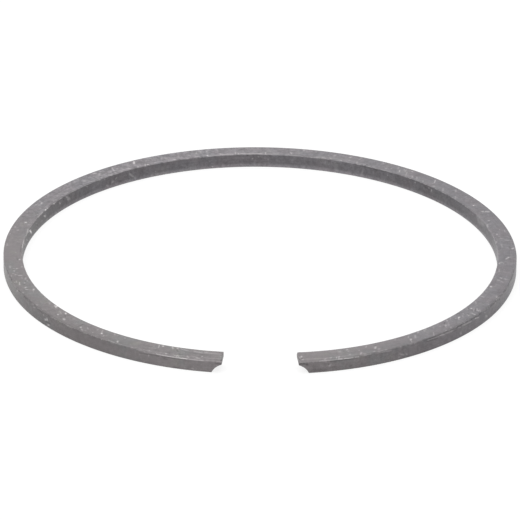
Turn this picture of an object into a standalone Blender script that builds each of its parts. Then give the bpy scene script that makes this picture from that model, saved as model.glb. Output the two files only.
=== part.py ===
"""A split compression ring for the piston of a small two-stroke engine, lying free on its lower side.

The ring is made in the order of the real one. It is turned as it sits closed in its bore, eased
at the gap, sawn through, sprung open to its free shape, and then notched under both ends for the
peg that stops it from turning in its groove.

Metres, +Z up. The origin is the bore's axis at the lower side. The gap faces -Y.
"""
import math

import bmesh
import bpy
from mathutils import Matrix, Vector

# The ring closed in its bore
BORE_DIAMETER = 0.052
AXIAL_HEIGHT = 0.0015
RADIAL_WALL = 0.00202
CLOSED_GAP = 0.00026
EDGE_BREAK = 0.00006

# The ring out of its bore, measured between its ends along the neutral line
FREE_GAP = 0.00757

# The outer top edge is eased more and more towards the ends, so that they clear the ports
TIP_EASE_WIDTH = 0.00043
TIP_EASE_DROP = 0.00029
TIP_EASE_LENGTH = 0.017

# The peg notch under each end leaves a thin tongue of full width above it
TONGUE_THICKNESS = 0.00057
NOTCH_LENGTH = 0.00102
NOTCH_RADIUS = 0.00166

# How finely round forms are divided
RING_STEPS = 180
NOTCH_STEPS = 72

# How far cutters reach past what they cut, and how near points and directions count as the same
CUT_MARGIN = 0.0005
MERGE_DISTANCE = 0.000001
SAME_DIRECTION = 0.999
SMOOTH_ANGLE = math.radians(25)

OUTER_RADIUS = BORE_DIAMETER / 2
INNER_RADIUS = OUTER_RADIUS - RADIAL_WALL
NEUTRAL_RADIUS = OUTER_RADIUS - RADIAL_WALL / 2
SPREAD = (FREE_GAP - CLOSED_GAP) / (3 * math.pi * NEUTRAL_RADIUS)


def new_collection(name):
    collection = bpy.data.collections.new(name)
    bpy.context.scene.collection.children.link(collection)
    return collection


def new_object(name, mesh, collection):
    piece = bpy.data.objects.new(name, mesh)
    collection.objects.link(piece)
    return piece


def as_cutter(piece):
    piece.hide_render = True
    piece.display_type = "WIRE"
    return piece


def cut(piece, cutter):
    boolean = piece.modifiers.new(cutter.name, "BOOLEAN")
    boolean.operation = "DIFFERENCE"
    boolean.object = cutter


def worked_mesh(piece):
    """The mesh of a piece with its modifiers carried out. The piece itself is used up."""
    evaluated = piece.evaluated_get(bpy.context.evaluated_depsgraph_get())
    mesh = bpy.data.meshes.new_from_object(evaluated)
    bpy.data.objects.remove(piece, do_unlink=True)
    return mesh


def free_neutral_point(angle):
    """A point of the neutral line once the ring has sprung open.

    angle is the point's place in the closed ring, from the side opposite the gap. A ring made to
    press on its bore with the same force all round takes this shape.
    """
    radius = NEUTRAL_RADIUS * (1 + SPREAD * (1 + 0.5 * angle * math.sin(angle)))
    lag = SPREAD * (angle + 0.5 * (math.sin(angle) - angle * math.cos(angle)))
    return Vector((radius * math.sin(angle - lag), radius * math.cos(angle - lag)))


def free_section_direction(angle):
    """The outward direction of a section once the ring has sprung open."""
    turned = angle - SPREAD * (angle + math.sin(angle))
    return Vector((math.sin(turned), math.cos(turned)))


def tip_angle():
    """Where the ring's end lies in the closed ring, from the side opposite the gap."""
    return math.pi - CLOSED_GAP / 2 / NEUTRAL_RADIUS


def eased_edge(angle):
    """The width and drop of the outer top edge, from the common break to its size at the ends."""
    from_tip = (tip_angle() - abs(angle)) * NEUTRAL_RADIUS
    share = 1 - min(max(from_tip / TIP_EASE_LENGTH, 0), 1)
    smooth_share = share * share * (3 - 2 * share)
    width = EDGE_BREAK + (TIP_EASE_WIDTH - EDGE_BREAK) * smooth_share
    drop = EDGE_BREAK + (TIP_EASE_DROP - EDGE_BREAK) * smooth_share
    return width, drop


def section_outline():
    """The section as (radius, height) points, down the outer side and up the inner one."""
    return [
        (OUTER_RADIUS - EDGE_BREAK, AXIAL_HEIGHT),
        (OUTER_RADIUS, AXIAL_HEIGHT - EDGE_BREAK),
        (OUTER_RADIUS, EDGE_BREAK),
        (OUTER_RADIUS - EDGE_BREAK, 0),
        (INNER_RADIUS + EDGE_BREAK, 0),
        (INNER_RADIUS, EDGE_BREAK),
        (INNER_RADIUS, AXIAL_HEIGHT - EDGE_BREAK),
        (INNER_RADIUS + EDGE_BREAK, AXIAL_HEIGHT),
    ]


def turned_ring(collection):
    """The whole ring before it is sawn, turned from its section."""
    mesh = bpy.data.meshes.new("section")
    form = bmesh.new()
    corners = [form.verts.new((radius, 0, height)) for radius, height in section_outline()]
    for start, end in zip(corners, corners[1:] + corners[:1]):
        form.edges.new((start, end))
    form.to_mesh(mesh)
    form.free()
    section = new_object("section", mesh, collection)
    screw = section.modifiers.new("turn", "SCREW")
    screw.axis = "Z"
    screw.steps = RING_STEPS
    screw.render_steps = RING_STEPS
    screw.use_merge_vertices = True
    screw.merge_threshold = MERGE_DISTANCE
    return worked_mesh(section)


def ease_outer_edge(mesh):
    """Widens the break on the outer top edge towards the gap."""
    top_line, outer_line = section_outline()[:2]
    for vertex in mesh.vertices:
        angle = math.atan2(vertex.co.x, vertex.co.y)
        width, drop = eased_edge(angle)
        place = Vector((math.hypot(vertex.co.x, vertex.co.y), vertex.co.z))
        if (place - Vector(top_line)).length < MERGE_DISTANCE:
            narrower = (OUTER_RADIUS - width) / place.x
            vertex.co.x *= narrower
            vertex.co.y *= narrower
        elif (place - Vector(outer_line)).length < MERGE_DISTANCE:
            vertex.co.z = AXIAL_HEIGHT - drop


def saw_cutter(collection):
    """The slot that a saw takes out of the closed ring at the gap."""
    form = bmesh.new()
    bmesh.ops.create_cube(form, size=1)
    size = (CLOSED_GAP, RADIAL_WALL + 2 * CUT_MARGIN, AXIAL_HEIGHT + 2 * CUT_MARGIN)
    bmesh.ops.scale(form, vec=size, verts=form.verts)
    mesh = bpy.data.meshes.new("saw_cutter")
    form.to_mesh(mesh)
    form.free()
    cutter = as_cutter(new_object("saw_cutter", mesh, collection))
    cutter.location = (0, -NEUTRAL_RADIUS, AXIAL_HEIGHT / 2)
    return cutter


def is_sawn(face):
    """Whether the saw cut this face, which then looks along the ring beside the gap."""
    centre = face.calc_center_median()
    return abs(face.normal.x) > SAME_DIRECTION and abs(centre.x) < CLOSED_GAP and centre.y < 0


def break_sawn_edges(mesh):
    """Breaks the edges round both sawn faces as finely as the ring's other edges."""
    form = bmesh.new()
    form.from_mesh(mesh)
    edges = {edge for face in form.faces if is_sawn(face) for edge in face.edges}
    bmesh.ops.bevel(form, geom=list(edges), offset=EDGE_BREAK, segments=1, affect="EDGES")
    form.to_mesh(mesh)
    form.free()


def spring_open(mesh):
    """Bends the closed ring to its free shape.

    Each section keeps its form and stays square to the neutral line.
    """
    for vertex in mesh.vertices:
        angle = math.atan2(vertex.co.x, vertex.co.y)
        offset = math.hypot(vertex.co.x, vertex.co.y) - NEUTRAL_RADIUS
        place = free_neutral_point(angle) + offset * free_section_direction(angle)
        vertex.co.x = place.x
        vertex.co.y = place.y


def notch_cutter(name, side, collection):
    """A round cutter that lies along the end's section, with its axis past the end and below it.

    It meets the lower side NOTCH_LENGTH from the end, and the end TONGUE_THICKNESS below the top.
    side is 1 at the +X end and -1 at the -X end.
    """
    notch_height = AXIAL_HEIGHT - TONGUE_THICKNESS
    chord = math.hypot(NOTCH_LENGTH, notch_height)
    axis_from_chord = math.sqrt(NOTCH_RADIUS ** 2 - (chord / 2) ** 2)
    past_end = axis_from_chord * notch_height / chord - NOTCH_LENGTH / 2
    below = axis_from_chord * NOTCH_LENGTH / chord - notch_height / 2

    angle = side * tip_angle()
    across = free_section_direction(angle)
    along = side * Vector((across.y, -across.x))
    centre = free_neutral_point(angle) + past_end * along

    form = bmesh.new()
    bmesh.ops.create_cone(
        form,
        cap_ends=True,
        segments=NOTCH_STEPS,
        radius1=NOTCH_RADIUS,
        radius2=NOTCH_RADIUS,
        depth=RADIAL_WALL + 2 * CUT_MARGIN,
    )
    mesh = bpy.data.meshes.new(name)
    form.to_mesh(mesh)
    form.free()
    mesh.shade_smooth()
    cutter = as_cutter(new_object(name, mesh, collection))
    facing = Vector((across.x, across.y, 0)).to_track_quat("Z", "Y").to_matrix().to_4x4()
    cutter.matrix_world = Matrix.Translation((centre.x, centre.y, -below)) @ facing
    return cutter


def phosphated_cast_iron():
    material = bpy.data.materials.new("phosphated_cast_iron")
    material.use_nodes = True
    shader = material.node_tree.nodes["Principled BSDF"]
    shader.inputs["Base Color"].default_value = (0.19, 0.178, 0.18, 1)
    shader.inputs["Metallic"].default_value = 0.55
    shader.inputs["Roughness"].default_value = 0.42
    return material


def piston_ring(parts, cutters):
    """The finished ring: turned, eased, sawn, sprung open and notched."""
    mesh = turned_ring(parts)
    ease_outer_edge(mesh)
    closed_ring = new_object("closed_ring", mesh, parts)
    cut(closed_ring, saw_cutter(cutters))
    mesh = worked_mesh(closed_ring)
    break_sawn_edges(mesh)
    spring_open(mesh)
    mesh.name = "piston_ring"
    mesh.shade_smooth()
    mesh.set_sharp_from_angle(angle=SMOOTH_ANGLE)
    mesh.materials.clear()
    mesh.materials.append(phosphated_cast_iron())
    ring = new_object("piston_ring", mesh, parts)
    cut(ring, notch_cutter("right_notch_cutter", 1, cutters))
    cut(ring, notch_cutter("left_notch_cutter", -1, cutters))
    return ring


def main():
    for old in list(bpy.data.objects):
        bpy.data.objects.remove(old, do_unlink=True)
    piston_ring(new_collection("piston_ring"), new_collection("cutters"))


main()
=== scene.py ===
"""The looks of a piston ring that lies free: its worn phosphate finish and a plain white studio.

The ring's shape is the frame's, divided finely enough to carry its scratches and nicks as real
shapes. A place on the ring is given by two numbers. The first is the angle in the closed ring, in
degrees from the side opposite the gap, positive to the right. The second is the way across, in
millimetres from the outer top edge: positive over the upper side and then down the inner side, and
negative down the outer side.
"""
import math
from collections import namedtuple

import bmesh
import bpy
import numpy as np
from mathutils import Matrix

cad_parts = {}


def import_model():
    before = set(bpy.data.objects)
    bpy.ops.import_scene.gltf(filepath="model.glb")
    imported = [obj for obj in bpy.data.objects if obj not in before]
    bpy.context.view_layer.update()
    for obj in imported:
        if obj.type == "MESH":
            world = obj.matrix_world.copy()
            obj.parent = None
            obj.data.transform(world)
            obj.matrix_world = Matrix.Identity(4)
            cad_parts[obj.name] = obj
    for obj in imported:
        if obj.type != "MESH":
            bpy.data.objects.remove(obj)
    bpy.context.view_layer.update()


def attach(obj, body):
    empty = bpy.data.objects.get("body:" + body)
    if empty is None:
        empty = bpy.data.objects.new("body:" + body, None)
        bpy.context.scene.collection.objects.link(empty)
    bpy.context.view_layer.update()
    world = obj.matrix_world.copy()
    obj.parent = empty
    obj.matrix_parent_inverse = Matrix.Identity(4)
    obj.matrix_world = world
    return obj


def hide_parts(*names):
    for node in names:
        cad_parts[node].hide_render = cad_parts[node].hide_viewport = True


MM = 0.001

# The ring's sizes, as in the frame
BORE_DIAMETER = 52 * MM
RADIAL_WALL = 2.02 * MM
AXIAL_HEIGHT = 1.5 * MM
CLOSED_GAP = 0.26 * MM
FREE_GAP = 7.57 * MM
EDGE_BREAK = 0.06 * MM
TIP_EASE_WIDTH = 0.43 * MM
TIP_EASE_DROP = 0.29 * MM
TIP_EASE_LENGTH = 17 * MM
TONGUE_THICKNESS = 0.57 * MM
NOTCH_LENGTH = 1.02 * MM
NOTCH_RADIUS = 1.66 * MM
NOTCH_CORNER = 0.03 * MM

NEUTRAL_RADIUS = (BORE_DIAMETER - RADIAL_WALL) / 2
SPREAD = (FREE_GAP - CLOSED_GAP) / (3 * math.pi * NEUTRAL_RADIUS)
TIP_ANGLE = math.pi - CLOSED_GAP / 2 / NEUTRAL_RADIUS

# How finely the ring is divided along its length and round its section
STATION_PITCH = 0.17 * MM
TIP_STATION_PITCH = 0.05 * MM
TIP_STATIONS_END = NOTCH_LENGTH + 4 * NOTCH_CORNER
TIP_ROUND_STEPS = 5
TOP_STEPS = 12
WALL_STEPS = 8
BOTTOM_STEPS = 4
CORNER_STEPS = 2
EASE_STEPS = 4
CLOSER_AT_EDGES = 0.45
EASE_FLATNESS = 0.8
CAP_SHRINKS = (0.9, 0.7, 0.45, 0.2)

# How the surface is divided again under a mark, in rounds: how far beside it, and the widest mark that
# needs it. The reach is the share of its width that counts as under it, on each side of its line.
REFINE_ROUNDS = ((0.05 * MM, 0.27 * MM), (0.01 * MM, 0.145 * MM))
REFINE_REACH = 0.8

# How a mark's groove and the lip beside it are shaped, in shares of its depth and half width
GROOVE_STEEPNESS = 1.2
LIP_HEIGHT = 0.3
LIP_PLACE = 1.7
LIP_WIDTH = 0.5

# How a mark's line comes and goes, by waves of three paces, and how it wavers
BREAK_LENGTH = 0.5 * MM
BREAK_PACES = (1, 2.3, 5.1)
WAVER = 0.12
WAVER_LENGTH = 0.16 * MM

# The least length that a stretch of a line is taken to have
SHORTEST = 1e-9

# The wear that is scattered and not placed, in degrees, millimetres and shares
SEED = 54
SPECKS = 60
EDGE_NICKS = 50
SCATTER_TURN = 178
LONGEST_SPECK = 0.25
SPECK_WIDTHS = (0.06, 0.1)
SPECK_DEPTHS = (0.002, 0.006)
SPECK_TONES = (0.1, 0.4)
NICK_WIDTHS = (0.06, 0.14)
NICK_DEPTHS = (0.003, 0.01)
NICK_TONES = (0.05, 0.3)

# How light each face's colour is round the ring, and how mottled, as pairs of angle and share. On the outer
# and inner sides the lightness is partly painted shade, darker on faces that turn right, away from the
# lamp.
TOP_TONES = (
    (-180, 0.97), (-120, 0.96), (-75, 1.0), (-15, 1.09), (10, 1.01), (60, 0.9),
    (115, 0.9), (138, 0.97), (155, 0.93), (167, 1.01), (180, 1.02),
)
OUTER_TONES = (
    (-180, 1.2), (-165, 1.14), (-150, 0.97), (-130, 0.87), (-112, 0.97), (92, 1.08), (108, 1.06),
    (115, 0.86), (150, 0.91), (168, 1.03), (180, 1.07),
)
INNER_TONES = (
    (-96, 0.84), (-90, 0.62), (-62, 0.83), (-15, 1.0), (20, 1.03), (50, 0.79), (76, 0.9), (82, 0.85),
    (87, 0.95), (94, 1.15),
)
TOP_MOTTLE = (
    (-180, 0.8), (-155, 0.4), (-135, 0.7), (-95, 0.15), (-75, 1.1), (-45, 2.0),
    (-10, 1.7), (35, 0.8), (110, 0.9), (135, 0.9), (155, 0.4), (180, 0.4),
)
OUTER_MOTTLE = ((-180, 0.5), (-150, 0.35), (-120, 0.9), (180, 0.8))
INNER_MOTTLE = 1.2

# How much lighter the upper side is made just before its inner edge, a painted highlight, as pairs of angle
# and share
EDGE_LIGHTS = (
    (-80, 0.04), (-60, 0.1), (-30, 0.17), (-24, 0.3), (-8, 0.25), (0, 0.15), (3, -0.03), (12, 0.0),
    (16, 0.19), (26, 0.09), (60, 0.08), (80, 0.02),
)

# Where the back, the sides, the front and the ends give way to each other, in degrees from the back
BACK_TO_SIDE = (66, 82)
SIDE_TO_FRONT = (95, 125)
FRONT_TO_END = (140, 158)

# How much lighter or darker the upper side is made across the front, and the painted shade and painted
# highlights beside the edges, with painted bounced light low on the inner side
FRONT_SLOPE = (-0.07, 0.06)
FRONT_EDGE_SHADE = 0.12
END_EDGE_SHADE = 0.13
BACK_EDGE_SHADE = 0.27
SHADE_NARROWS = (8, 20)
SIDE_EDGE_LIGHT = 0.1
LOWER_EDGE_LIGHT = 0.8

# The hues of the finish, and the metal under it
PINK = (0.190, 0.173, 0.177, 1)
STEEL = (0.182, 0.176, 0.178, 1)
OLIVE = (0.186, 0.178, 0.168, 1)
LAVENDER = (0.183, 0.174, 0.188, 1)
MAUVE = (0.187, 0.172, 0.185, 1)
BARE_METAL = (0.8, 0.77, 0.77, 1)

# How uneven the finish is in lightness and in relief, by noise, and how dark, rough and bare it gets
NOISE_SPAN = (0.3, 0.7)
COAT_NOISES = {
    "mottle": 1.7, "patches": 0.8, "grain": 1.1, "fine grain": 0.6, "turning": 0.9, "lapping": 0.5,
}
COAT_SWING = (0.025, 0.195)
RELIEF_NOISES = {"grain": 0.6, "turning": 0.6, "lapping": 0.5}
RELIEF_DEPTH = 0.004 * MM
TURNING_STRETCH = (0.22, 9.0, 1)
LAPPING_STRETCH = (3.4, 0.5, 1)
COAT_ROUGHNESS = (0.38, 0.48)
BARE_ROUGHNESS = -0.1
METALLIC = (0.3, 0.85)
# The inner side's colour is darkened, as painted shade.
INNER_SIDE_SHADE = 0.8
DARK_MARK_SHADE = 0.3
SPECK_BARENESS = 0.2
EDGE_BARENESS = 0.3

# The camera, as fitted to both outlines of the ring in the photograph
CAMERA_LENS = 458.2
CAMERA_SENSOR = 36
CAMERA_DISTANCE = 0.70835
CAMERA_ELEVATION = math.radians(25.451)
CAMERA_AZIMUTH = math.radians(-0.298)
CAMERA_PITCH = math.radians(25.422)
CAMERA_YAW = math.radians(0.298)
CAMERA_ROLL = math.radians(0.582)
CAMERA_CLIP = (0.01, 10)

# The studio
AMBIENT = 0.42
LAMP_HEIGHT = 1.3
LAMP_SIZE = 2
LAMP_SHIFT = -0.35
LAMP_POWER = 22
FLOOR_SIZE = 4
FLOOR_WHITE = 0.7
FLOOR_GLOW = 0.83
FLOOR_SHADE = 0.2

Kind = namedtuple("Kind", "width depth tone broken", defaults=(0,))
Mark = namedtuple("Mark", "points kind")

# The kinds of mark. Width and depth are in millimetres. The tone is how bare the metal is, or with a
# minus sign how dark the mark is, and the last number is how much of it comes and goes along its length.
END_CHIP = Kind(0.3, 0.03, 0.2)
BROAD_CHIP = Kind(0.24, 0.008, 0.95)
BRIGHT_CHIP = Kind(0.155, 0.01, 0.93)
CHIP = Kind(0.155, 0.01, 0.55)
DING = Kind(0.14, 0.005, 0.36)
BROAD_DING = Kind(0.26, 0.003, 0.42)
RUB = Kind(0.155, 0.002, 0.25)
FAINT_RUB = Kind(0.155, 0.001, 0.17)
BROAD_RUB = Kind(0.26, 0.001, 0.2)
WORN_PATCH = Kind(0.5, 0.001, 0.13)
BROKEN_RUB = Kind(0.2, 0.001, 0.25, 0.3)
SCRATCH = Kind(0.1, 0.004, 0.42)
EDGE_SCRATCH = Kind(0.075, 0.003, 0.58)
FINE_SCRATCH = Kind(0.1, 0.002, 0.22)
BROKEN_SCRATCH = Kind(0.08, 0.002, 0.26, 0.35)
END_SHADE = Kind(0.22, 0.004, -0.75)
EDGE_SHADE = Kind(0.12, 0.008, -0.63, 0.15)
DEEP_SHADE = Kind(0.2, 0.008, -0.6, 0.15)
# Long faint darker bands along the edges, as painted shade.
PAINTED_EDGE_SHADE = Kind(0.26, 0.001, -0.28, 0.3)
BROAD_SHADE = Kind(0.25, 0.003, -0.49, 0.3)
PIT = Kind(0.14, 0.004, -0.7)
FAINT_PIT = Kind(0.15, 0.001, -0.42)
DARK_LINE = Kind(0.095, 0.003, -0.6)

# The marks that were found in the photograph, region by region. A row has a kind, and for each
# mark of it the angle and the way across of its points in turn.

# The left side, 99 to 125 degrees from the back
LEFT_SIDE = (
    (CHIP, (-99.9, 1.7, -100.5, 1.66), (-105.3, 1.2, -105.4, 1.12), (-116.0, 1.0, -116.5, 0.85),
     (-117.6, 1.65, -118.4, 1.48)),
    (DING, (-108.5, 0.77, -108.8, 0.7), (-109.4, 1.4, -109.3, 0.98), (-113.5, 1.22, -113.9, 1.15),
     (-117.6, 1.0, -117.2, 0.75)),
    (RUB, (-103.4, 0.52, -104.9, 0.46), (-105.1, 0.88, -105.2, 0.8), (-106.0, 0.82, -107.0, 0.75),
     (-107.9, 0.52), (-110.8, 1.63, -112.0, 1.5), (-118.3, 0.3, -119.0, 0.25),
     (-115.8, -0.35, -116.8, -0.12)),
    (FAINT_RUB, (-103.9, 1.78, -104.9, 1.72), (-107.7, 1.05), (-110.4, 1.22, -111.3, 1.2),
     (-112.5, 0.25, -113.0, 0.2)),
    (SCRATCH, (-112.9, 0.72, -114.5, 0.52)),
    (FINE_SCRATCH, (-108.8, 0.3, -109.5, 0.22), (-112.0, 0.5, -113.0, 0.4), (-112.4, 1.62, -113.2, 1.55),
     (-118.3, 1.45, -119.5, 1.25)),
    (EDGE_SHADE, (-107.4, -0.12, -108.3, -0.05), (-115.3, -0.12, -116.4, -0.05),
     (-117.2, -0.02, -118.2, 0.02)),
    (DEEP_SHADE, (-105.8, 0.06, -109.0, 0.01), (-109.2, 0.06, -111.5, 0.06),
     (-119.3, 0.05, -121.0, 0.02, -125.0, 0.06)),
    (BROAD_SHADE, (-110.0, 1.62, -110.6, 1.54)),
    (PIT, (-112.9, 1.36, -113.3, 1.3), (-114.6, 1.05), (-118.9, 1.3, -119.4, 1.2)),
    (FAINT_PIT, (-99.4, 1.5, -100.6, 1.45), (-105.7, 0.72), (-108.2, 1.3), (-115.3, 1.2), (-116.9, 1.02)),
)

# Where the left side turns into the front, 117 to 147 degrees
LEFT_CORNER = (
    (CHIP, (-128.5, 1.84, -129.3, 1.74, -130.0, 1.62), (-133.0, 0.97, -133.5, 0.8),
     (-130.5, -0.85, -131.3, -0.7, -131.9, -0.6), (-131.7, -1.2, -132.6, -1.12),
     (-131.5, -0.5, -131.9, -0.72)),
    (BRIGHT_CHIP, (-129.0, 2.02, -129.6, 1.78), (-133.6, 1.76, -134.3, 1.6)),
    (BROAD_DING, (-135.7, 0.76, -136.7, 0.62)),
    (RUB, (-125.8, 0.32, -126.5, 0.26)),
    (FAINT_RUB, (-128.6, 0.3, -129.0, 0.25), (-126.4, 1.75, -127.5, 1.5)),
    (FINE_SCRATCH, (-132.3, 1.45, -133.6, 1.25), (-125.3, -0.38, -126.5, -0.15)),
    (EDGE_SHADE, (-127.9, -0.1, -129.6, -0.2), (-126.4, 0.01, -127.6, -0.06)),
    (DEEP_SHADE, (-125.2, 0.08, -126.6, 0.01, -128.2, -0.06)),
    (PAINTED_EDGE_SHADE, (-117.5, 0.06, -126.0, 0.1, -133.0, 0.12, -147.0, 0.08)),
    (PIT, (-130.9, -0.98, -133.0, -0.9)),
    (FAINT_PIT, (-132.9, 0.78, -133.6, 0.6), (-134.8, 0.7, -135.2, 0.55)),
    (DARK_LINE, (-134.4, 1.45, -135.6, 1.1)),
)

# The left arm, from 141 degrees to its end
LEFT_ARM = (
    (CHIP, (-141.9, 0.78, -142.4, 0.58), (-153.5, 0.62, -153.9, 0.25), (-168.0, 1.74, -168.5, 1.6)),
    (BRIGHT_CHIP, (-147.8, 1.14, -148.3, 0.94), (-164.3, 1.75, -164.6, 1.6)),
    (DING, (-166.6, 1.98, -167.3, 1.4), (-174.8, 0.62, -175.1, 0.42)),
    (RUB, (-142.8, 0.5, -143.6, 0.2), (-154.1, 1.6, -154.3, 1.4), (-166.3, 0.3, -166.6, 0.1),
     (-167.0, 1.98, -168.4, 1.88)),
    (FAINT_RUB, (-144.2, 0.45), (-145.8, 1.62, -146.2, 1.3), (-157.7, 0.1, -158.2, 0.05),
     (-162.1, 0.3, -162.5, 0.1), (-171.5, 0.25, -172.0, 0.0), (-173.6, 0.15, -174.7, 0.05),
     (-174.9, 1.58, -176.3, 1.4), (-178.9, 1.0, -179.4, 0.85)),
    (BROKEN_RUB, (-169.0, 1.7, -171.2, 1.45), (-172.3, 1.58, -174.8, 1.3), (-175.0, 1.45, -179.3, 1.35)),
    (SCRATCH, (-163.4, 1.8, -163.8, 1.1)),
    (EDGE_SCRATCH, (-164.1, -0.14, -166.0, -0.2, -169.0, -0.22, -171.8, -0.2)),
    (FINE_SCRATCH, (-143.3, 1.15, -144.2, 0.85), (-146.0, 0.7, -146.3, 0.5), (-147.1, 1.7, -147.9, 1.15),
     (-149.0, 0.9, -149.4, 0.6), (-150.6, 1.85, -151.3, 1.5), (-151.9, 1.6), (-161.6, 0.7, -163.5, 0.95),
     (-169.2, 0.2, -169.7, 0.0), (-168.4, 0.05, -169.8, 0.1), (-172.7, -1.22, -173.3, -1.3)),
    (BROKEN_SCRATCH, (-151.3, 0.2, -153.4, 0.1), (-159.2, -0.1, -161.5, -0.12),
     (-161.2, -0.25, -163.9, -0.15), (-172.0, -0.2, -175.5, -0.22)),
    (PIT, (-167.0, 0.45, -167.3, 0.28), (-168.3, 1.3, -168.7, 1.05), (-178.2, -0.44, -179.7, -0.44),
     (-179.3, 0.1, -179.6, -0.05)),
    (FAINT_PIT, (-141.3, 1.4, -141.5, 0.1), (-142.2, 0.45, -142.9, 0.2), (-170.2, 1.3, -170.4, 1.2),
     (-169.3, 0.5, -170.0, 0.33), (-173.6, 0.42, -175.6, 0.3), (-166.0, -0.5, -167.1, -0.6),
     (-168.2, -1.38, -169.8, -1.35)),
    (DARK_LINE, (-168.2, 1.44, -168.9, 0.96), (-170.5, 1.15, -176.0, 0.95), (-160.0, -0.42, -165.0, -0.36),
     (-165.5, -0.38, -167.5, -0.34, -171.5, -0.33)),
)

# The right arm, from 150 degrees to its end
RIGHT_ARM = (
    (END_CHIP, (179.4, 1.98, 179.9, 2.05)),
    (CHIP, (178.7, 1.05, 179.1, 0.75), (160.1, 1.2, 160.8, 0.75), (150.5, 1.0, 151.1, 0.65),
     (167.1, 1.64, 167.4, 1.5)),
    (RUB, (167.2, 0.5, 167.8, 0.33), (164.4, 0.62, 165.1, 0.1), (172.2, -0.6, 172.8, -0.92),
     (153.1, -1.15, 153.4, -1.0)),
    (FAINT_RUB, (173.2, 0.2, 173.8, 0.0), (161.3, 0.35, 161.8, 0.15), (158.3, 0.18, 159.0, 0.02),
     (154.0, 1.75, 154.2, 1.6), (178.5, 0.32, 178.9, 0.2), (171.9, 0.35, 172.4, 0.12)),
    (BROAD_RUB, (169.0, 1.4, 169.6, 1.3), (159.7, 0.7, 160.3, 0.4)),
    (EDGE_SCRATCH, (165.5, -0.2, 166.6, -0.16), (166.9, -0.2, 169.2, -0.15), (169.5, -0.16, 170.6, -0.12)),
    (FINE_SCRATCH, (170.1, 0.4, 170.4, -0.05), (162.4, -0.12, 164.3, -0.1), (179.4, 0.95, 179.3, 0.4),
     (162.0, 1.75, 162.6, 1.35), (150.2, 1.65, 150.8, 1.25), (151.1, 0.6, 151.5, 0.2),
     (153.9, -1.1, 155.2, -0.8)),
    (BROKEN_SCRATCH, (170.7, -0.17, 174.8, -0.13), (157.3, -0.2, 160.0, -0.15), (170.7, 0.32, 170.9, 0.0)),
    (END_SHADE, (177.6, -0.62, 178.0, -0.38), (178.2, -0.38, 179.7, -0.4)),
    (BROAD_SHADE, (174.3, -1.15, 176.6, -1.12)),
    (PIT, (179.2, 1.28), (179.3, 0.6, 179.5, 0.2), (178.8, 0.55, 178.9, 0.42), (168.3, 1.32),
     (172.8, -0.64)),
    (FAINT_PIT, (173.0, -1.25, 177.0, -1.28), (166.8, 0.85, 166.9, 0.7), (171.0, -0.92, 172.4, -1.02),
     (164.6, -1.12, 165.2, -1.1), (167.2, -1.1, 167.8, -1.12)),
    (DARK_LINE, (159.9, 1.5, 160.2, 1.25), (162.3, -0.22, 163.6, -0.17), (167.0, -0.34, 172.5, -0.3)),
)

# Where the right side turns into the front, 118 to 150 degrees
RIGHT_CORNER = (
    (BRIGHT_CHIP, (133.4, 1.28, 133.9, 1.14), (127.5, 1.45, 127.8, 1.3)),
    (DING, (139.0, 1.08, 139.5, 0.95), (127.5, 0.72, 128.0, 0.32), (129.8, 0.78, 130.2, 0.15),
     (131.3, 0.72, 131.5, 0.6), (136.8, 1.72, 137.3, 1.54)),
    (RUB, (120.2, 1.85, 120.6, 1.4), (141.0, 0.2, 141.4, 0.1), (146.5, 1.9, 147.4, 1.6),
     (148.5, 1.4, 149.5, 0.8), (125.2, -1.02, 126.5, -0.75), (138.8, 1.18, 139.8, 0.85),
     (140.4, 1.32, 140.7, 1.26)),
    (FAINT_RUB, (123.5, 1.9, 125.0, 1.4), (123.4, 0.3, 123.8, 0.2), (137.6, 1.3, 138.8, 0.75),
     (138.9, 0.45, 139.4, 0.2), (142.0, 1.62, 142.8, 1.3), (143.9, 2.0, 145.5, 1.5),
     (136.0, -1.12, 136.6, -1.0)),
    (BROKEN_RUB, (132.2, -0.32, 134.5, -0.26, 136.0, -0.2), (139.0, -0.27, 142.0, -0.2)),
    (SCRATCH, (133.8, 1.18, 134.5, 1.0), (142.0, -0.26, 143.6, -0.18), (129.2, -0.42, 131.0, -0.22)),
    (FINE_SCRATCH, (128.2, 1.78, 128.8, 1.5), (127.3, 1.12, 128.9, 0.78), (126.8, 0.88, 128.1, 0.58),
     (127.1, 0.5, 128.2, 0.1), (131.1, 1.0, 131.2, 0.85), (131.2, 1.5, 131.5, 1.2),
     (132.2, 1.2, 133.0, 0.9), (135.4, 1.75, 136.0, 1.6), (144.0, 0.78, 145.2, 0.1),
     (136.3, -0.33, 137.4, -0.2), (120.7, -0.36, 121.4, -0.15), (126.2, -0.42, 127.0, -0.25)),
    (BROKEN_SCRATCH, (143.6, -0.22, 147.4, -0.2)),
    (EDGE_SHADE, (121.6, -0.14, 124.3, -0.1), (123.4, -0.16, 124.0, -0.13), (128.8, -0.1, 131.8, -0.1),
     (132.0, -0.09, 135.3, -0.06, 138.8, -0.08), (138.8, -0.06, 140.6, -0.1, 142.3, 0.0)),
    (PIT, (128.0, 1.64, 128.6, 1.54), (138.0, 1.62, 139.0, 1.3), (139.7, 1.05, 140.2, 0.83)),
    (PAINTED_EDGE_SHADE, (118.0, 0.05, 128.0, 0.08, 138.0, 0.1, 149.0, 0.06)),
    (FAINT_PIT, (143.9, -0.1, 146.2, -0.08, 147.4, -0.06), (128.8, 1.0, 129.0, 0.9),
     (130.5, 1.05, 130.9, 0.75), (131.7, 1.8, 132.2, 1.6), (134.7, 1.18, 135.4, 1.0),
     (133.3, 0.45, 133.5, 0.25), (139.6, 0.35, 140.4, 0.1), (142.1, 1.5, 142.5, 1.4)),
    (DARK_LINE, (127.0, 0.98, 128.5, 0.68), (138.0, -0.43, 139.6, -0.38),
     (144.0, -0.42, 146.0, -0.37, 147.6, -0.34), (132.1, -0.45, 135.4, -0.4)),
)

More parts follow.
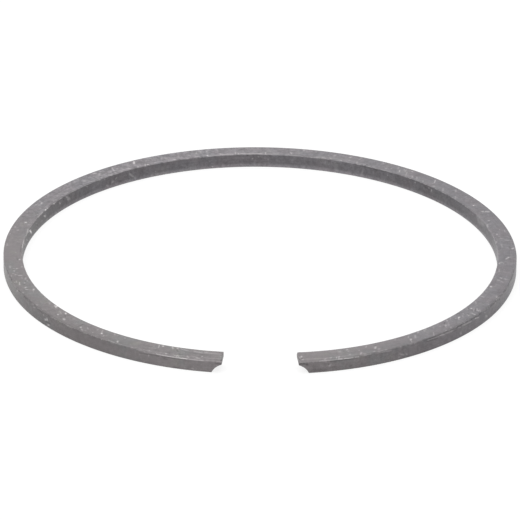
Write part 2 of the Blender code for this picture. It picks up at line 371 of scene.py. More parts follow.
# The right side, 65 to 123 degrees
RIGHT_SIDE = (
    (CHIP, (69.5, 0.72, 70.1, 0.28), (74.6, 1.2, 74.9, 1.3), (96.3, 0.86, 96.9, 0.9),
     (69.1, 1.08, 69.5, 0.8), (91.2, 0.18, 91.8, 0.42)),
    (BRIGHT_CHIP, (65.0, 1.03, 65.4, 1.15), (113.9, 1.68, 114.4, 1.62)),
    (DING, (82.8, 1.38, 83.4, 1.5), (99.8, 1.78, 100.6, 1.8), (96.9, 0.95, 97.7, 1.18),
     (108.4, 1.28, 108.9, 1.0)),
    (RUB, (85.5, 1.28, 85.8, 1.0), (86.5, 0.92, 87.1, 0.48), (87.0, 1.86, 88.0, 1.92),
     (118.5, 0.36, 119.5, 0.15)),
    (FAINT_RUB, (70.0, 1.2, 70.4, 0.3), (88.9, 1.42, 91.0, 1.42), (103.5, 1.7, 105.3, 1.6),
     (110.2, 1.0, 111.0, 0.7), (117.0, 1.72, 117.5, 1.68)),
    (BROAD_RUB, (99.6, 1.75, 99.6, 1.4), (108.8, 0.85, 109.0, 0.42), (109.7, 1.52, 110.2, 1.1)),
    (BROKEN_RUB, (76.7, 1.72, 78.5, 1.95)),
    (WORN_PATCH, (70.8, 2.12, 76.4, 2.14), (71.6, 2.32, 74.6, 2.36)),
    (BROKEN_SCRATCH, (85.5, 2.06, 90.0, 2.04, 97.5, 2.02)),
    (FINE_SCRATCH, (78.5, 2.0, 80.5, 2.12), (80.8, 0.35, 82.0, 0.45), (105.0, 0.1, 105.6, 0.08)),
    (EDGE_SHADE, (113.6, -0.16, 115.8, -0.02), (116.4, -0.16, 118.4, -0.05), (119.6, -0.1, 121.8, -0.08)),
    (DEEP_SHADE, (103.2, 0.14, 106.0, 0.1, 109.0, 0.05), (108.6, 0.07, 110.6, 0.04),
     (110.2, 0.02, 113.0, -0.06), (113.2, -0.02, 116.4, -0.06), (118.2, -0.34, 119.2, -0.26),
     (120.6, -0.05, 123.0, -0.08)),
    (PAINTED_EDGE_SHADE, (78.5, 2.34, 83.0, 2.36, 89.0, 2.3)),
    (PIT, (118.3, -0.42, 119.3, -0.25)),
    (FAINT_PIT, (70.5, 1.5, 71.2, 1.3), (75.8, 1.45, 76.0, 1.5), (82.0, 1.42, 82.4, 1.6),
     (83.8, 1.68, 84.4, 1.74), (85.5, 0.2, 86.6, 0.3), (87.2, 1.65, 88.0, 1.6), (89.0, 0.22, 89.4, 0.18),
     (97.2, 0.72, 98.1, 0.7), (96.5, 1.27, 97.9, 1.32), (96.6, 0.45, 96.6, 0.15),
     (107.7, 1.32, 107.9, 1.25), (112.7, 1.85, 113.3, 1.8), (119.6, 1.2), (109.8, -0.25, 112.2, -0.2)),
    (DARK_LINE, (90.2, 0.65, 91.8, 0.6)),
)

# The back on the right, 20 to 60 degrees
BACK_RIGHT = (
    (DING, (25.6, 0.85, 25.8, 0.72), (37.4, 0.9, 38.1, 1.42), (50.1, 2.52, 50.4, 2.3)),
    (RUB, (23.4, 1.62, 23.7, 1.3), (26.1, 1.9, 25.6, 1.4), (25.6, 0.45, 25.9, 0.2), (27.8, 1.85, 28.5, 1.7),
     (42.0, 1.3, 42.8, 1.72), (55.2, 0.4, 56.4, 0.82)),
    (FAINT_RUB, (22.7, 1.88, 23.3, 1.72), (40.6, 1.75, 39.6, 0.9), (23.0, 0.4, 23.3, 0.25),
     (30.7, 1.95, 31.2, 1.8), (31.6, 0.35, 32.4, 0.55), (34.3, 1.65, 33.9, 1.3), (33.4, 2.0, 35.2, 1.9),
     (36.2, 0.3, 36.8, 0.9), (38.6, 0.4, 39.1, 0.95), (43.2, 1.15, 44.2, 1.72), (45.9, 1.42, 46.5, 1.78),
     (48.7, 1.15, 49.0, 1.3), (52.5, 1.2, 54.0, 1.82), (58.3, 1.5, 59.6, 1.92),
     (27.6, 3.3, 27.8, 2.95, 28.0, 2.6)),
    (CHIP, (21.4, 1.84, 21.8, 1.8), (40.3, 0.36, 40.5, 0.44)),
    (BROAD_DING, (22.9, 0.75, 23.3, 0.6)),
    (BROAD_RUB, (49.9, 1.55, 50.5, 1.85)),
    (SCRATCH, (47.8, 0.38, 48.9, 1.02)),
    (FINE_SCRATCH, (37.9, 0.35, 38.5, 0.75), (44.7, 1.95, 45.3, 1.85)),
    (BROAD_SHADE, (47.4, 2.25, 49.6, 2.5)),
    (PIT, (28.5, 1.68, 28.9, 1.52)),
    (FAINT_PIT, (25.2, 1.05, 25.4, 0.9), (55.5, 0.85, 56.0, 1.05), (20.5, 2.3, 21.4, 2.3),
     (27.0, 2.15, 34.0, 2.2)),
)

# The middle of the back, 19 degrees to each side
BACK = (
    (BRIGHT_CHIP, (-13.6, 1.82, -13.9, 1.64)),
    (DING, (8.3, 1.58, 7.8, 1.08), (-2.6, 1.92, -2.8, 1.6), (-6.4, 1.85, -6.3, 1.3),
     (-7.0, 1.9, -10.5, 1.72), (-10.3, 1.7, -10.3, 1.4), (-1.9, 2.5), (18.9, 1.72, 18.4, 1.62),
     (0.5, 1.74, -2.2, 1.72), (-2.8, 1.72, -5.0, 1.7)),
    (RUB, (15.8, 1.78, 14.8, 1.8), (11.0, 0.55, 10.9, 0.1), (-13.6, 0.95, -13.2, 0.35),
     (-11.3, 1.9, -13.2, 1.72), (-15.8, 1.75, -17.1, 1.6), (-18.0, 1.45, -18.6, 1.0), (-0.4, 2.28)),
    (FAINT_RUB, (17.8, 1.1, 17.6, 0.9), (14.2, 0.6, 14.0, 0.3), (11.8, 0.75, 11.7, 0.6),
     (7.6, 1.7, 7.2, 1.6), (10.0, 1.95, 6.4, 1.82), (5.0, 1.75, 2.0, 1.8), (-10.6, 0.85, -10.8, 0.3),
     (-4.2, 1.25, -4.4, 0.9), (-5.0, 0.35, -5.1, 0.15), (-4.5, 2.4), (17.3, 2.65, 17.5, 2.3)),
    (BROAD_RUB, (17.5, 1.88, 16.2, 1.7), (19.2, 1.0, 19.0, 0.55)),
    (BROKEN_RUB, (0.7, 1.8, -5.3, 1.75)),
    (SCRATCH, (1.5, 1.92, 1.5, 1.35), (-5.7, 1.9, -5.6, 1.5)),
    (BROAD_SHADE, (0.9, 2.52, -0.6, 2.35)),
    (PIT, (-3.1, 2.12, -3.4, 2.15)),
    (FAINT_PIT, (0.3, 1.52, -1.1, 1.52), (-15.2, 1.5, -15.6, 1.35), (-9.9, 1.35, -10.4, 1.2),
     (-13.9, 0.6, -13.7, 0.35), (-18.3, 1.62, -18.8, 1.3), (-1.4, 2.42, -2.6, 2.4), (-6.0, 2.12),
     (-1.5, 2.95, -2.2, 2.85), (-14.5, 3.0, -15.0, 2.95)),
)

# The back on the left, 20 to 96 degrees
BACK_LEFT = (
    (CHIP, (-79.4, 3.0, -80.6, 2.5), (-80.8, 2.5, -82.4, 2.08), (-38.1, 1.85, -38.4, 1.72),
     (-68.0, 2.0, -68.6, 1.95), (-38.2, 1.06, -38.5, 0.9), (-65.3, 1.98, -64.5, 2.1),
     (-69.6, 2.75, -70.8, 2.5)),
    (BRIGHT_CHIP, (-33.2, 0.88, -32.5, 0.3), (-66.1, 0.75, -66.6, 0.83), (-78.0, 1.14, -78.6, 1.23),
     (-69.0, 1.94, -69.8, 2.02), (-30.1, 1.8, -30.5, 1.7)),
    (BROAD_DING, (-49.0, 1.22, -49.8, 0.98), (-22.3, 1.8, -23.1, 1.71), (-44.1, 0.52, -44.9, 0.28),
     (-41.5, 1.98, -42.5, 1.72), (-35.4, 1.78, -36.3, 1.6)),
    (BROAD_CHIP, (-79.9, 2.8, -81.4, 2.28)),
    (DING, (-82.4, 2.2, -84.6, 2.0), (-33.5, 1.9, -33.0, 1.6), (-58.2, 2.7, -58.5, 2.5), (-59.0, 2.25),
     (-61.8, 2.62, -62.2, 2.42), (-31.4, 1.98, -30.7, 1.45), (-39.7, 1.25, -39.2, 0.45)),
    (RUB, (-81.8, 1.84, -82.8, 1.92), (-43.4, 0.68, -44.5, 1.22), (-39.0, 0.5, -38.9, 0.3),
     (-41.5, 1.0, -40.5, 1.22), (-48.3, 1.82, -48.8, 1.2), (-59.6, 1.65, -60.0, 1.55),
     (-82.7, 0.85, -83.5, 0.88)),
    (FAINT_RUB, (-25.9, 1.2, -24.9, 0.5), (-21.3, 1.5, -20.9, 0.7), (-37.0, 1.82, -37.5, 1.5),
     (-35.1, 0.95, -34.3, 0.35), (-45.0, 1.8, -44.2, 1.58), (-50.7, 1.75, -50.9, 1.62),
     (-51.2, 0.35, -51.8, 0.62), (-57.6, 1.72, -58.3, 1.5), (-58.6, 1.25, -59.2, 1.0),
     (-62.6, 1.8, -63.0, 1.6), (-62.4, 0.55, -61.0, 0.3), (-67.0, 0.52, -68.2, 0.38),
     (-66.0, 0.5, -65.3, 0.28), (-72.1, 0.32, -73.1, 0.46), (-81.0, 0.35, -82.0, 0.45),
     (-91.0, 0.28, -92.4, 0.32), (-34.4, 3.3, -34.5, 3.0), (-43.0, 3.15, -43.8, 3.0),
     (-44.1, 2.2, -44.6, 2.1), (-50.3, 2.3, -51.2, 2.1), (-58.0, 2.75, -58.8, 2.55),
     (-61.9, 2.6, -62.5, 2.3)),
    (BROAD_RUB, (-24.3, 1.45, -24.7, 0.85), (-27.9, 1.75, -28.3, 1.65), (-60.3, 1.4, -60.7, 1.2),
     (-69.2, 1.9, -69.8, 1.98), (-79.0, 1.75, -79.4, 1.62), (-41.3, 2.75, -42.2, 2.92)),
    (BROKEN_RUB, (-70.8, 1.92, -74.6, 2.0), (-34.9, 3.0, -36.4, 2.4), (-57.4, 2.75, -59.2, 2.15)),
    (FINE_SCRATCH, (-83.4, 3.1, -85.6, 2.55), (-87.4, 2.72, -89.6, 2.28)),
    (SCRATCH, (-82.6, 1.92, -84.3, 2.02), (-84.0, 2.02, -86.0, 2.05), (-88.5, 1.98, -93.5, 1.97)),
    (BROAD_SHADE, (-75.1, 0.58, -75.4, 0.25)),
    (PIT, (-60.3, 2.4, -60.8, 2.2), (-57.8, 2.22), (-63.0, 2.16), (-61.3, 2.12), (-59.6, 2.62),
     (-73.4, 1.82, -74.4, 1.65), (-40.2, 1.5, -40.8, 1.35), (-64.1, 1.68, -64.7, 1.6)),
    (FAINT_PIT, (-22.3, 1.15, -22.6, 0.95), (-24.8, 1.75, -24.4, 1.6), (-28.6, 1.62, -29.0, 1.55),
     (-35.7, 1.28, -36.2, 1.15), (-42.6, 1.05, -42.9, 0.9), (-51.2, 1.55, -51.8, 1.35),
     (-71.6, 1.5, -72.6, 1.68), (-81.8, 1.48, -82.3, 1.55), (-83.6, 1.78, -84.1, 1.7),
     (-83.8, 1.02, -84.2, 0.98), (-36.8, 2.65, -37.4, 2.3), (-38.8, 3.1, -39.3, 3.0), (-53.2, 3.08),
     (-57.0, 2.45, -57.4, 2.6), (-62.8, 2.3, -64.0, 2.2), (-74.5, 2.9, -76.5, 2.5)),
    (DARK_LINE, (-32.7, 1.1, -32.9, 0.85), (-91.4, 1.82, -93.5, 1.85, -96.0, 1.84)),
)


def drawn_in(points, distance):
    """A line with both ends drawn in, so that its round ends stop where the line did."""
    if len(points) == 1:
        return points
    points = points.copy()
    for end, following in ((0, 1), (-1, -2)):
        way = points[following] - points[end]
        length = max(float(np.linalg.norm(way)), distance)
        share = min(distance / length, 0.5 if len(points) == 2 else 1)
        points[end] += way * share
    return points


def marks(kind, *lines):
    """Marks of one kind. Each line is the angle and the way across of its points in turn."""
    scale = (math.radians(1) * NEUTRAL_RADIUS, MM)
    return [Mark(drawn_in(np.reshape(line, (-1, 2)) * scale, kind.width * MM / 2), kind) for line in lines]


def placed_marks():
    """The marks of every region, in turn."""
    rows = LEFT_SIDE + LEFT_CORNER + LEFT_ARM + RIGHT_ARM + RIGHT_CORNER + RIGHT_SIDE
    rows += BACK_RIGHT + BACK + BACK_LEFT
    return [mark for kind, *lines in rows for mark in marks(kind, *lines)]


def speck(random, angle, across):
    """A small bare or dark speck, or a short scratch, that starts at one place."""
    length = random.uniform(0, LONGEST_SPECK)
    lean = math.radians(random.uniform(-90, 90))
    along = math.degrees(length * MM * math.cos(lean) / NEUTRAL_RADIUS)
    tone = random.uniform(*SPECK_TONES) * random.choice((1, 1, 1, -1))
    kind = Kind(random.uniform(*SPECK_WIDTHS), random.uniform(*SPECK_DEPTHS), tone)
    return marks(kind, (angle, across, angle + along, across + length * math.sin(lean)))


def scattered_marks(random):
    """A few more specks all over, and nicks along the edges."""
    reach = AXIAL_HEIGHT / MM
    wall = RADIAL_WALL / MM
    scattered = []
    for _ in range(SPECKS):
        angle = random.uniform(-SCATTER_TURN, SCATTER_TURN)
        scattered += speck(random, angle, random.uniform(-reach, wall + reach))
    for _ in range(EDGE_NICKS):
        edge = random.choice((-reach, 0, wall, wall + reach))
        kind = Kind(random.uniform(*NICK_WIDTHS), random.uniform(*NICK_DEPTHS), random.uniform(*NICK_TONES))
        scattered += marks(kind, (random.uniform(-SCATTER_TURN, SCATTER_TURN), edge))
    return scattered


def eased_share(values, low, high):
    """0 below low, 1 above high and a smooth way between."""
    share = np.clip((values - low) / (high - low), 0, 1)
    return share * share * (3 - 2 * share)


def hump(values, middle, spread):
    """1 at the middle, and falling off softly beside it."""
    return np.exp(-((values - middle) / spread) ** 2)


def free_neutral_point(angle):
    """The neutral line of a ring that springs open from even pressure all round."""
    radius = NEUTRAL_RADIUS * (1 + SPREAD * (1 + 0.5 * angle * np.sin(angle)))
    lag = SPREAD * (angle + 0.5 * (np.sin(angle) - angle * np.cos(angle)))
    return radius * np.sin(angle - lag), radius * np.cos(angle - lag)


def place(angle, offset, height):
    """Points in the frame, for places in the closed ring: offset is outward of the neutral line."""
    x, y = free_neutral_point(angle)
    turned = angle - SPREAD * (angle + np.sin(angle))
    return np.stack([x + offset * np.sin(turned), y + offset * np.cos(turned), height], -1)


def station_distances():
    """How far each section lies from its end of the ring, from the end to the middle of the back."""
    round_turns = np.linspace(0, math.pi / 2, TIP_ROUND_STEPS + 1)
    rounding = EDGE_BREAK * (1 - np.cos(round_turns))
    notch = np.arange(EDGE_BREAK + TIP_STATION_PITCH, TIP_STATIONS_END, TIP_STATION_PITCH)
    half_length = TIP_ANGLE * NEUTRAL_RADIUS
    steps = round((half_length - TIP_STATIONS_END) / STATION_PITCH)
    return np.concatenate([rounding, notch, np.linspace(TIP_STATIONS_END, half_length, steps)])


def notch_height(from_tip):
    """How high the round notch reaches above the lower side, with its corner there rounded."""
    height = AXIAL_HEIGHT - TONGUE_THICKNESS
    chord = math.hypot(NOTCH_LENGTH, height)
    axis_from_chord = math.sqrt(NOTCH_RADIUS ** 2 - (chord / 2) ** 2)
    past_end = axis_from_chord * height / chord - NOTCH_LENGTH / 2
    below = axis_from_chord * NOTCH_LENGTH / chord - height / 2
    reach = np.minimum((from_tip + past_end) / NOTCH_RADIUS, 1)
    arc = NOTCH_RADIUS * np.sqrt(1 - reach ** 2) - below
    rounded = (arc + NOTCH_CORNER) ** 2 / (4 * NOTCH_CORNER)
    return np.where(arc > NOTCH_CORNER, arc, np.where(arc > -NOTCH_CORNER, rounded, 0))


def spaced(steps):
    """Even steps from 0 to 1, drawn a little towards both ends."""
    even = np.arange(steps) / steps
    return even - CLOSER_AT_EDGES * np.sin(2 * math.pi * even) / (2 * math.pi)


def straight(start, end, steps):
    """Offsets and heights along a straight side."""
    return [low + (high - low) * spaced(steps) for low, high in zip(start, end)]


def curved(start, control, end, steps):
    """Offsets and heights along a curve that a control point draws out."""
    share = np.arange(steps) / steps
    return [
        a * (1 - share) ** 2 + 2 * b * share * (1 - share) + c * share ** 2
        for a, b, c in zip(start, control, end)
    ]


def section_loop(from_tip):
    """The closed section at one station: offset, height, way across and edge share of each point."""
    rounding = EDGE_BREAK - math.sqrt(max(EDGE_BREAK ** 2 - max(EDGE_BREAK - from_tip, 0) ** 2, 0))
    easing = eased_share(TIP_EASE_LENGTH - from_tip, 0, TIP_EASE_LENGTH)
    ease_width = EDGE_BREAK + (TIP_EASE_WIDTH - EDGE_BREAK) * easing
    ease_drop = EDGE_BREAK + (TIP_EASE_DROP - EDGE_BREAK) * easing
    outer = RADIAL_WALL / 2 - rounding
    inner = -outer
    top = AXIAL_HEIGHT - rounding
    bottom = float(notch_height(from_tip)) + rounding
    low = bottom + EDGE_BREAK
    turns = np.arange(CORNER_STEPS) / CORNER_STEPS * math.pi / 2
    near = EDGE_BREAK * (1 - np.sin(turns))
    far = EDGE_BREAK * (1 - np.cos(turns))
    flat = EASE_FLATNESS * easing / 2
    ease_start = (outer, top - ease_drop)
    ease_control = (outer - ease_width * flat, top - ease_drop * flat)
    ease_end = (outer - ease_width, top)
    sides = [
        (*straight(ease_end, (inner + EDGE_BREAK, top), TOP_STEPS), 0),
        (inner + near, top - far, 1),
        (*straight((inner, top - EDGE_BREAK), (inner, low), WALL_STEPS), 0),
        (inner + far, bottom + near, 1),
        (*straight((inner + EDGE_BREAK, bottom), (outer - EDGE_BREAK, bottom), BOTTOM_STEPS), 0),
        (outer - near, bottom + far, 1),
        (*straight((outer, low), ease_start, WALL_STEPS), 0),
        (*curved(ease_start, ease_control, ease_end, EASE_STEPS), 1 - easing),
    ]
    offset = np.concatenate([side[0] for side in sides])
    height = np.concatenate([side[1] for side in sides])
    edge = np.concatenate([np.full(len(side[0]), side[2], float) for side in sides])
    inward = RADIAL_WALL / 2 - offset
    down = AXIAL_HEIGHT - height
    inner_half = TOP_STEPS + 2 * CORNER_STEPS + WALL_STEPS + BOTTOM_STEPS // 2
    on_inner_half = np.arange(len(offset)) < inner_half
    across = np.where(on_inner_half, inward + down, inward - down)
    beyond = np.where(on_inner_half, 2 * (RADIAL_WALL - inward), -2 * inward)
    across = np.where(height <= low, across + beyond, across)
    return offset, height, across, edge


def ring_arrays():
    """Vertices, faces and the along, across and edge values of the whole ring."""
    distances = station_distances()
    left_angles = distances / NEUTRAL_RADIUS - TIP_ANGLE
    angles = np.concatenate([left_angles, -left_angles[-2::-1]])
    from_tip = (TIP_ANGLE - np.abs(angles)) * NEUTRAL_RADIUS
    loops = [section_loop(max(distance, 0)) for distance in from_tip]
    points, along, across, edge = [], [], [], []

    def add_loop(angle, loop, beyond=0.0):
        offset, height, loop_across, loop_edge = loop
        points.append(place(np.full(len(offset), angle), offset, height))
        along.append(np.full(len(offset), angle * NEUTRAL_RADIUS + math.copysign(beyond, angle)))
        across.append(loop_across)
        edge.append(loop_edge)

    def add_cap(angle, loop, shrinks):
        """The end face: the end's section, drawn in towards its middle loop by loop."""
        offset, height, loop_across, _ = loop
        middle = (offset.mean(), (height.max() + height.min()) / 2)
        for shrink in shrinks:
            shrunk = (middle[0] + (offset - middle[0]) * shrink, middle[1] + (height - middle[1]) * shrink)
            add_loop(angle, (*shrunk, loop_across, 0 * offset), (1 - shrink) * TONGUE_THICKNESS / 2)

    add_cap(angles[0], loops[0], CAP_SHRINKS[::-1])
    for angle, loop in zip(angles, loops):
        add_loop(angle, loop)
    add_cap(angles[-1], loops[-1], CAP_SHRINKS)

    count, size = len(points), len(loops[0][0])
    row, column = np.meshgrid(np.arange(count - 1), np.arange(size), indexing="ij")
    following = (column + 1) % size
    here, there = row * size, (row + 1) * size
    corners = [here + column, here + following, there + following, there + column]
    faces = np.stack([corner.ravel() for corner in corners], 1).tolist()
    faces.append(list(range(size))[::-1])
    faces.append([(count - 1) * size + i for i in range(size)])
    return [np.concatenate(values) for values in (points, along, across, edge)] + [faces]


def set_values(mesh, name, values):
    attribute = mesh.attributes.get(name) or mesh.attributes.new(name, "FLOAT", "POINT")
    attribute.data.foreach_set("value", np.asarray(values, np.float32))


def get_values(mesh, name):
    values = np.zeros(len(mesh.vertices), np.float32)
    mesh.attributes[name].data.foreach_get("value", values)
    return values.astype(float)


def get_vectors(elements, name):
    vectors = np.zeros(len(elements) * 3)
    elements.foreach_get(name, vectors)
    return vectors.reshape(-1, 3)


def whole_ring_mesh():
    points, along, across, edge, faces = ring_arrays()
    mesh = bpy.data.meshes.new("worn_ring")
    mesh.from_pydata(points.tolist(), [], faces)
    set_values(mesh, "along", along)
    set_values(mesh, "across", across)
    set_values(mesh, "edge", edge)
    form = bmesh.new()
    form.from_mesh(mesh)
    if form.calc_volume(signed=True) < 0:
        bmesh.ops.reverse_faces(form, faces=form.faces)
    form.to_mesh(mesh)
    form.free()
    return mesh


def distance_to(mark, along, across):
    """How far each place lies from a mark's line, and how far along the line it is."""
    places = np.stack([along, across], -1)
    if len(mark.points) == 1:
        return np.linalg.norm(places - mark.points[0], axis=-1), np.zeros(len(along))
    nearest = np.full(len(along), np.inf)
    travelled = np.zeros(len(along))
    start_length = 0.0
    for start, end in zip(mark.points, mark.points[1:]):
        way = end - start
        length = float(np.linalg.norm(way))
        share = np.clip((places - start) @ way / max(length, SHORTEST) ** 2, 0, 1)
        gap = np.linalg.norm(places - start - share[:, None] * way, axis=-1)
        closer = gap < nearest
        nearest = np.where(closer, gap, nearest)
        travelled = np.where(closer, start_length + share * length, travelled)
        start_length += length
    return nearest, travelled


def near_mark(mark, along, across, margin):
    """The indexes of the places in the mark's own rectangle, grown by a margin."""
    low = mark.points.min(0) - margin
    high = mark.points.max(0) + margin
    return np.nonzero((along > low[0]) & (along < high[0]) & (across > low[1]) & (across < high[1]))[0]


def face_middle(face, layer):
    """A value of a face's corners, on average."""
    return sum(corner[layer] for corner in face.verts) / len(face.verts)


def refine_under(mesh, wear):
    """Divides the faces under each mark, once for each round."""
    form = bmesh.new()
    form.from_mesh(mesh)
    for margin, widest in REFINE_ROUNDS:
        form.faces.ensure_lookup_table()
        layers = [form.verts.layers.float[name] for name in ("along", "across")]
        along, across = np.array([[face_middle(face, layer) for face in form.faces] for layer in layers])
        wanted = np.zeros(len(along), bool)
        for mark in wear:
            if mark.kind.width * MM > widest:
                continue
            reach = mark.kind.width * MM * REFINE_REACH + margin
            near = near_mark(mark, along, across, reach)
            if len(near):
                gap, _ = distance_to(mark, along[near], across[near])
                wanted[near[gap < reach]] = True
        edges = {edge for i in np.nonzero(wanted)[0] for edge in form.faces[i].edges}
        bmesh.ops.subdivide_edges(form, edges=list(edges), cuts=1, use_grid_fill=True)
    form.to_mesh(mesh)
    form.free()


def wear_mesh(mesh, wear, random):
    """Presses the marks into the surface and notes how bare or dark each point is."""
    along, across = get_values(mesh, "along"), get_values(mesh, "across")
    sunk, bare, dark = np.zeros((3, len(along)))
    for mark in wear:
        kind = mark.kind
        width = kind.width * MM
        phases = random.uniform(0, 2 * math.pi, 3)
        near = near_mark(mark, along, across, 2 * width)
        if not len(near):
            continue
        sway = WAVER * width * np.sin(across[near] / WAVER_LENGTH * 2 * math.pi + phases[0])
        lift = WAVER * width * np.sin(along[near] / WAVER_LENGTH * 2 * math.pi + phases[1])
        gap, travelled = distance_to(mark, along[near] + sway, across[near] + lift)
        turns = travelled / BREAK_LENGTH * 2 * math.pi
        wave = sum(np.sin(pace * turns + phase) for pace, phase in zip(BREAK_PACES, phases))
        strength = 1 - kind.broken * np.clip(0.5 + wave / 3, 0, 1)
        share = gap / (width / 2)
        groove = np.exp(-GROOVE_STEEPNESS * share ** 2)
        lip = LIP_HEIGHT * hump(share, LIP_PLACE, LIP_WIDTH)
        sunk[near] += kind.depth * MM * (groove - lip) * strength
        shown = np.exp(-share ** 2) * strength * abs(kind.tone)
        target = bare if kind.tone > 0 else dark
        target[near] = np.maximum(target[near], shown)
    normals = get_vectors(mesh.vertex_normals, "vector")
    moved = get_vectors(mesh.vertices, "co") - normals * sunk[:, None]
    mesh.vertices.foreach_set("co", moved.ravel())
    mesh.update()
    set_values(mesh, "bare", bare)
    set_values(mesh, "dark", dark)


def at_angle(angle, pairs):
    """A value that is given as pairs of angle and share, read off at each angle."""
    return np.interp(angle, *zip(*pairs))


def tone_mesh(mesh):
    """Notes how light, how mottled and how cool in hue the finish is at each point. The lightness also
    carries painted shade and painted highlights along the edges, painted bounced light low on the inner
    side and painted shade on faces turned from the lamp.
    """
    angle = np.degrees(get_values(mesh, "along") / NEUTRAL_RADIUS)
    across = get_values(mesh, "across") / MM
    wall = RADIAL_WALL / MM
    outer = 1 - eased_share(across, -0.12, 0.03)
    inner = eased_share(across, wall - 0.02, wall + 0.1)
    upper = 1 - outer - inner
    back = 1 - eased_share(np.abs(angle), *BACK_TO_SIDE)
    front = eased_share(np.abs(angle), *SIDE_TO_FRONT)
    near_end = eased_share(np.abs(angle), *FRONT_TO_END)
    slope = 1 + front * np.interp(across, (0.3, wall - 0.3), FRONT_SLOPE)
    outer_band = hump(across, 0.02, 0.15)
    light_band = hump(across, wall - 0.34, 0.12)
    shade_start = wall - 0.27 + 0.05 * eased_share(angle, *SHADE_NARROWS)
    shade_band = eased_share(across, shade_start, shade_start + 0.2)
    inner_band = hump(across, wall, 0.14)
    lower_band = eased_share(across, wall + 0.95, wall + 1.4)
    # Painted shade along the outer top edge at the front and towards the ends.
    outer_edge = 1 - (FRONT_EDGE_SHADE * front + END_EDGE_SHADE * near_end) * outer_band
    # Painted shade just inside the inner top edge at the back, and painted highlights before that edge and
    # on it at the sides.
    inner_edge = 1 - BACK_EDGE_SHADE * back * shade_band
    inner_edge += at_angle(angle, EDGE_LIGHTS) * light_band
    inner_edge += SIDE_EDGE_LIGHT * (1 - back) * (1 - front) * inner_band
    # A painted pool of bounced light on the lower part of the inner side.
    lower_edge = 1 + LOWER_EDGE_LIGHT * lower_band
    tone = upper * slope * inner_edge * at_angle(angle, TOP_TONES)
    # The outer and inner tables also paint shade on faces turned from the lamp.
    tone += outer * at_angle(angle, OUTER_TONES)
    tone *= outer_edge
    tone += inner * lower_edge * at_angle(angle, INNER_TONES)
    mottle = upper * at_angle(angle, TOP_MOTTLE) + outer * at_angle(angle, OUTER_MOTTLE)
    x, y, _ = get_vectors(mesh.vertices, "co").T / NEUTRAL_RADIUS
    towards_back_right = 0.6 * x + 0.8 * y
    set_values(mesh, "tone", tone)
    set_values(mesh, "mottle", mottle + inner * INNER_MOTTLE)
    set_values(mesh, "cool", eased_share(towards_back_right, -0.7, 0))


def feed(tree, socket, value):
    """Links an input from another socket, or gives it a value."""
    if isinstance(value, bpy.types.NodeSocket):
        tree.links.new(value, socket)
    else:
        socket.default_value = value


def add_node(tree, kind, inputs=None, **settings):
    """A new node with its settings, and with its inputs by name or number."""
    made = tree.nodes.new(kind)
    for name, value in settings.items():
        setattr(made, name, value)
    for name, value in (inputs or {}).items():
        feed(tree, made.inputs[name], value)
    return made


def add_math(tree, operation, *values):
    return add_node(tree, "ShaderNodeMath", dict(enumerate(values)), operation=operation).outputs[0]


def add_product(tree, product, *factors):
    for factor in factors:
        product = add_math(tree, "MULTIPLY", product, factor)
    return product


def add_mix(tree, factor, first, second):
    return add_node(tree, "ShaderNodeMix", {0: factor, 6: first, 7: second}, data_type="RGBA").outputs[2]


def add_noise(tree, vector, scale, detail, roughness):
    inputs = {"Vector": vector, "Scale": scale, "Detail": detail, "Roughness": roughness}
    return add_node(tree, "ShaderNodeTexNoise", inputs).outputs["Fac"]


def add_range(tree, value, low, high, to_low=0.0, to_high=1.0, way="LINEAR"):
    inputs = {"Value": value, "From Min": low, "From Max": high, "To Min": to_low, "To Max": to_high}
    return add_node(tree, "ShaderNodeMapRange", inputs, interpolation_type=way).outputs["Result"]


def add_stretched(tree, vector, stretch):
    inputs = {0: vector, 1: stretch}
    return add_node(tree, "ShaderNodeVectorMath", inputs, operation="MULTIPLY").outputs[0]


def add_scaled(tree, vector, factor):
    inputs = {0: vector, "Scale": factor}
    return add_node(tree, "ShaderNodeVectorMath", inputs, operation="SCALE").outputs[0]


def add_attribute(tree, name):
    return add_node(tree, "ShaderNodeAttribute", attribute_name=name).outputs["Fac"]


def finish_noises(tree, place_mm):
    """The noises of the finish by name. The last two are drawn out, along the ring and across it."""
    ways = {"X": add_attribute(tree, "along"), "Y": add_attribute(tree, "across")}
    unrolled_mm = add_scaled(tree, add_node(tree, "ShaderNodeCombineXYZ", ways).outputs[0], 1 / MM)
    turned = add_stretched(tree, unrolled_mm, TURNING_STRETCH)
    lapped = add_stretched(tree, unrolled_mm, LAPPING_STRETCH)
    return {
        "clouds": add_noise(tree, place_mm, scale=0.4, detail=3, roughness=0.55),
        "patches": add_noise(tree, place_mm, scale=0.65, detail=3, roughness=0.6),
        "edge wear": add_noise(tree, place_mm, scale=1.6, detail=4, roughness=0.7),
        "mottle": add_noise(tree, place_mm, scale=2.3, detail=3, roughness=0.6),
        "grain": add_noise(tree, place_mm, scale=7, detail=3, roughness=0.6),
        "fine grain": add_noise(tree, place_mm, scale=19, detail=2, roughness=0.6),
        "turning": add_noise(tree, turned, scale=1, detail=4, roughness=0.6),
        "lapping": add_noise(tree, lapped, scale=1, detail=4, roughness=0.65),
    }


def coat_hue(tree, clouds, patches):
    """Pink and steel greys with some olive, and towards the back right lavender and mauve."""
    warm = add_mix(tree, add_range(tree, clouds, 0.36, 0.5, way="SMOOTHSTEP"), STEEL, PINK)
    warm = add_mix(tree, add_range(tree, patches, 0.54, 0.66, 0, 0.7, "SMOOTHSTEP"), warm, OLIVE)
    cool = add_mix(tree, add_range(tree, clouds, 0.42, 0.56, way="SMOOTHSTEP"), LAVENDER, MAUVE)
    cool = add_mix(tree, add_range(tree, patches, 0.54, 0.66, 0, 0.5, "SMOOTHSTEP"), cool, STEEL)
    return add_mix(tree, add_attribute(tree, "cool"), warm, cool)


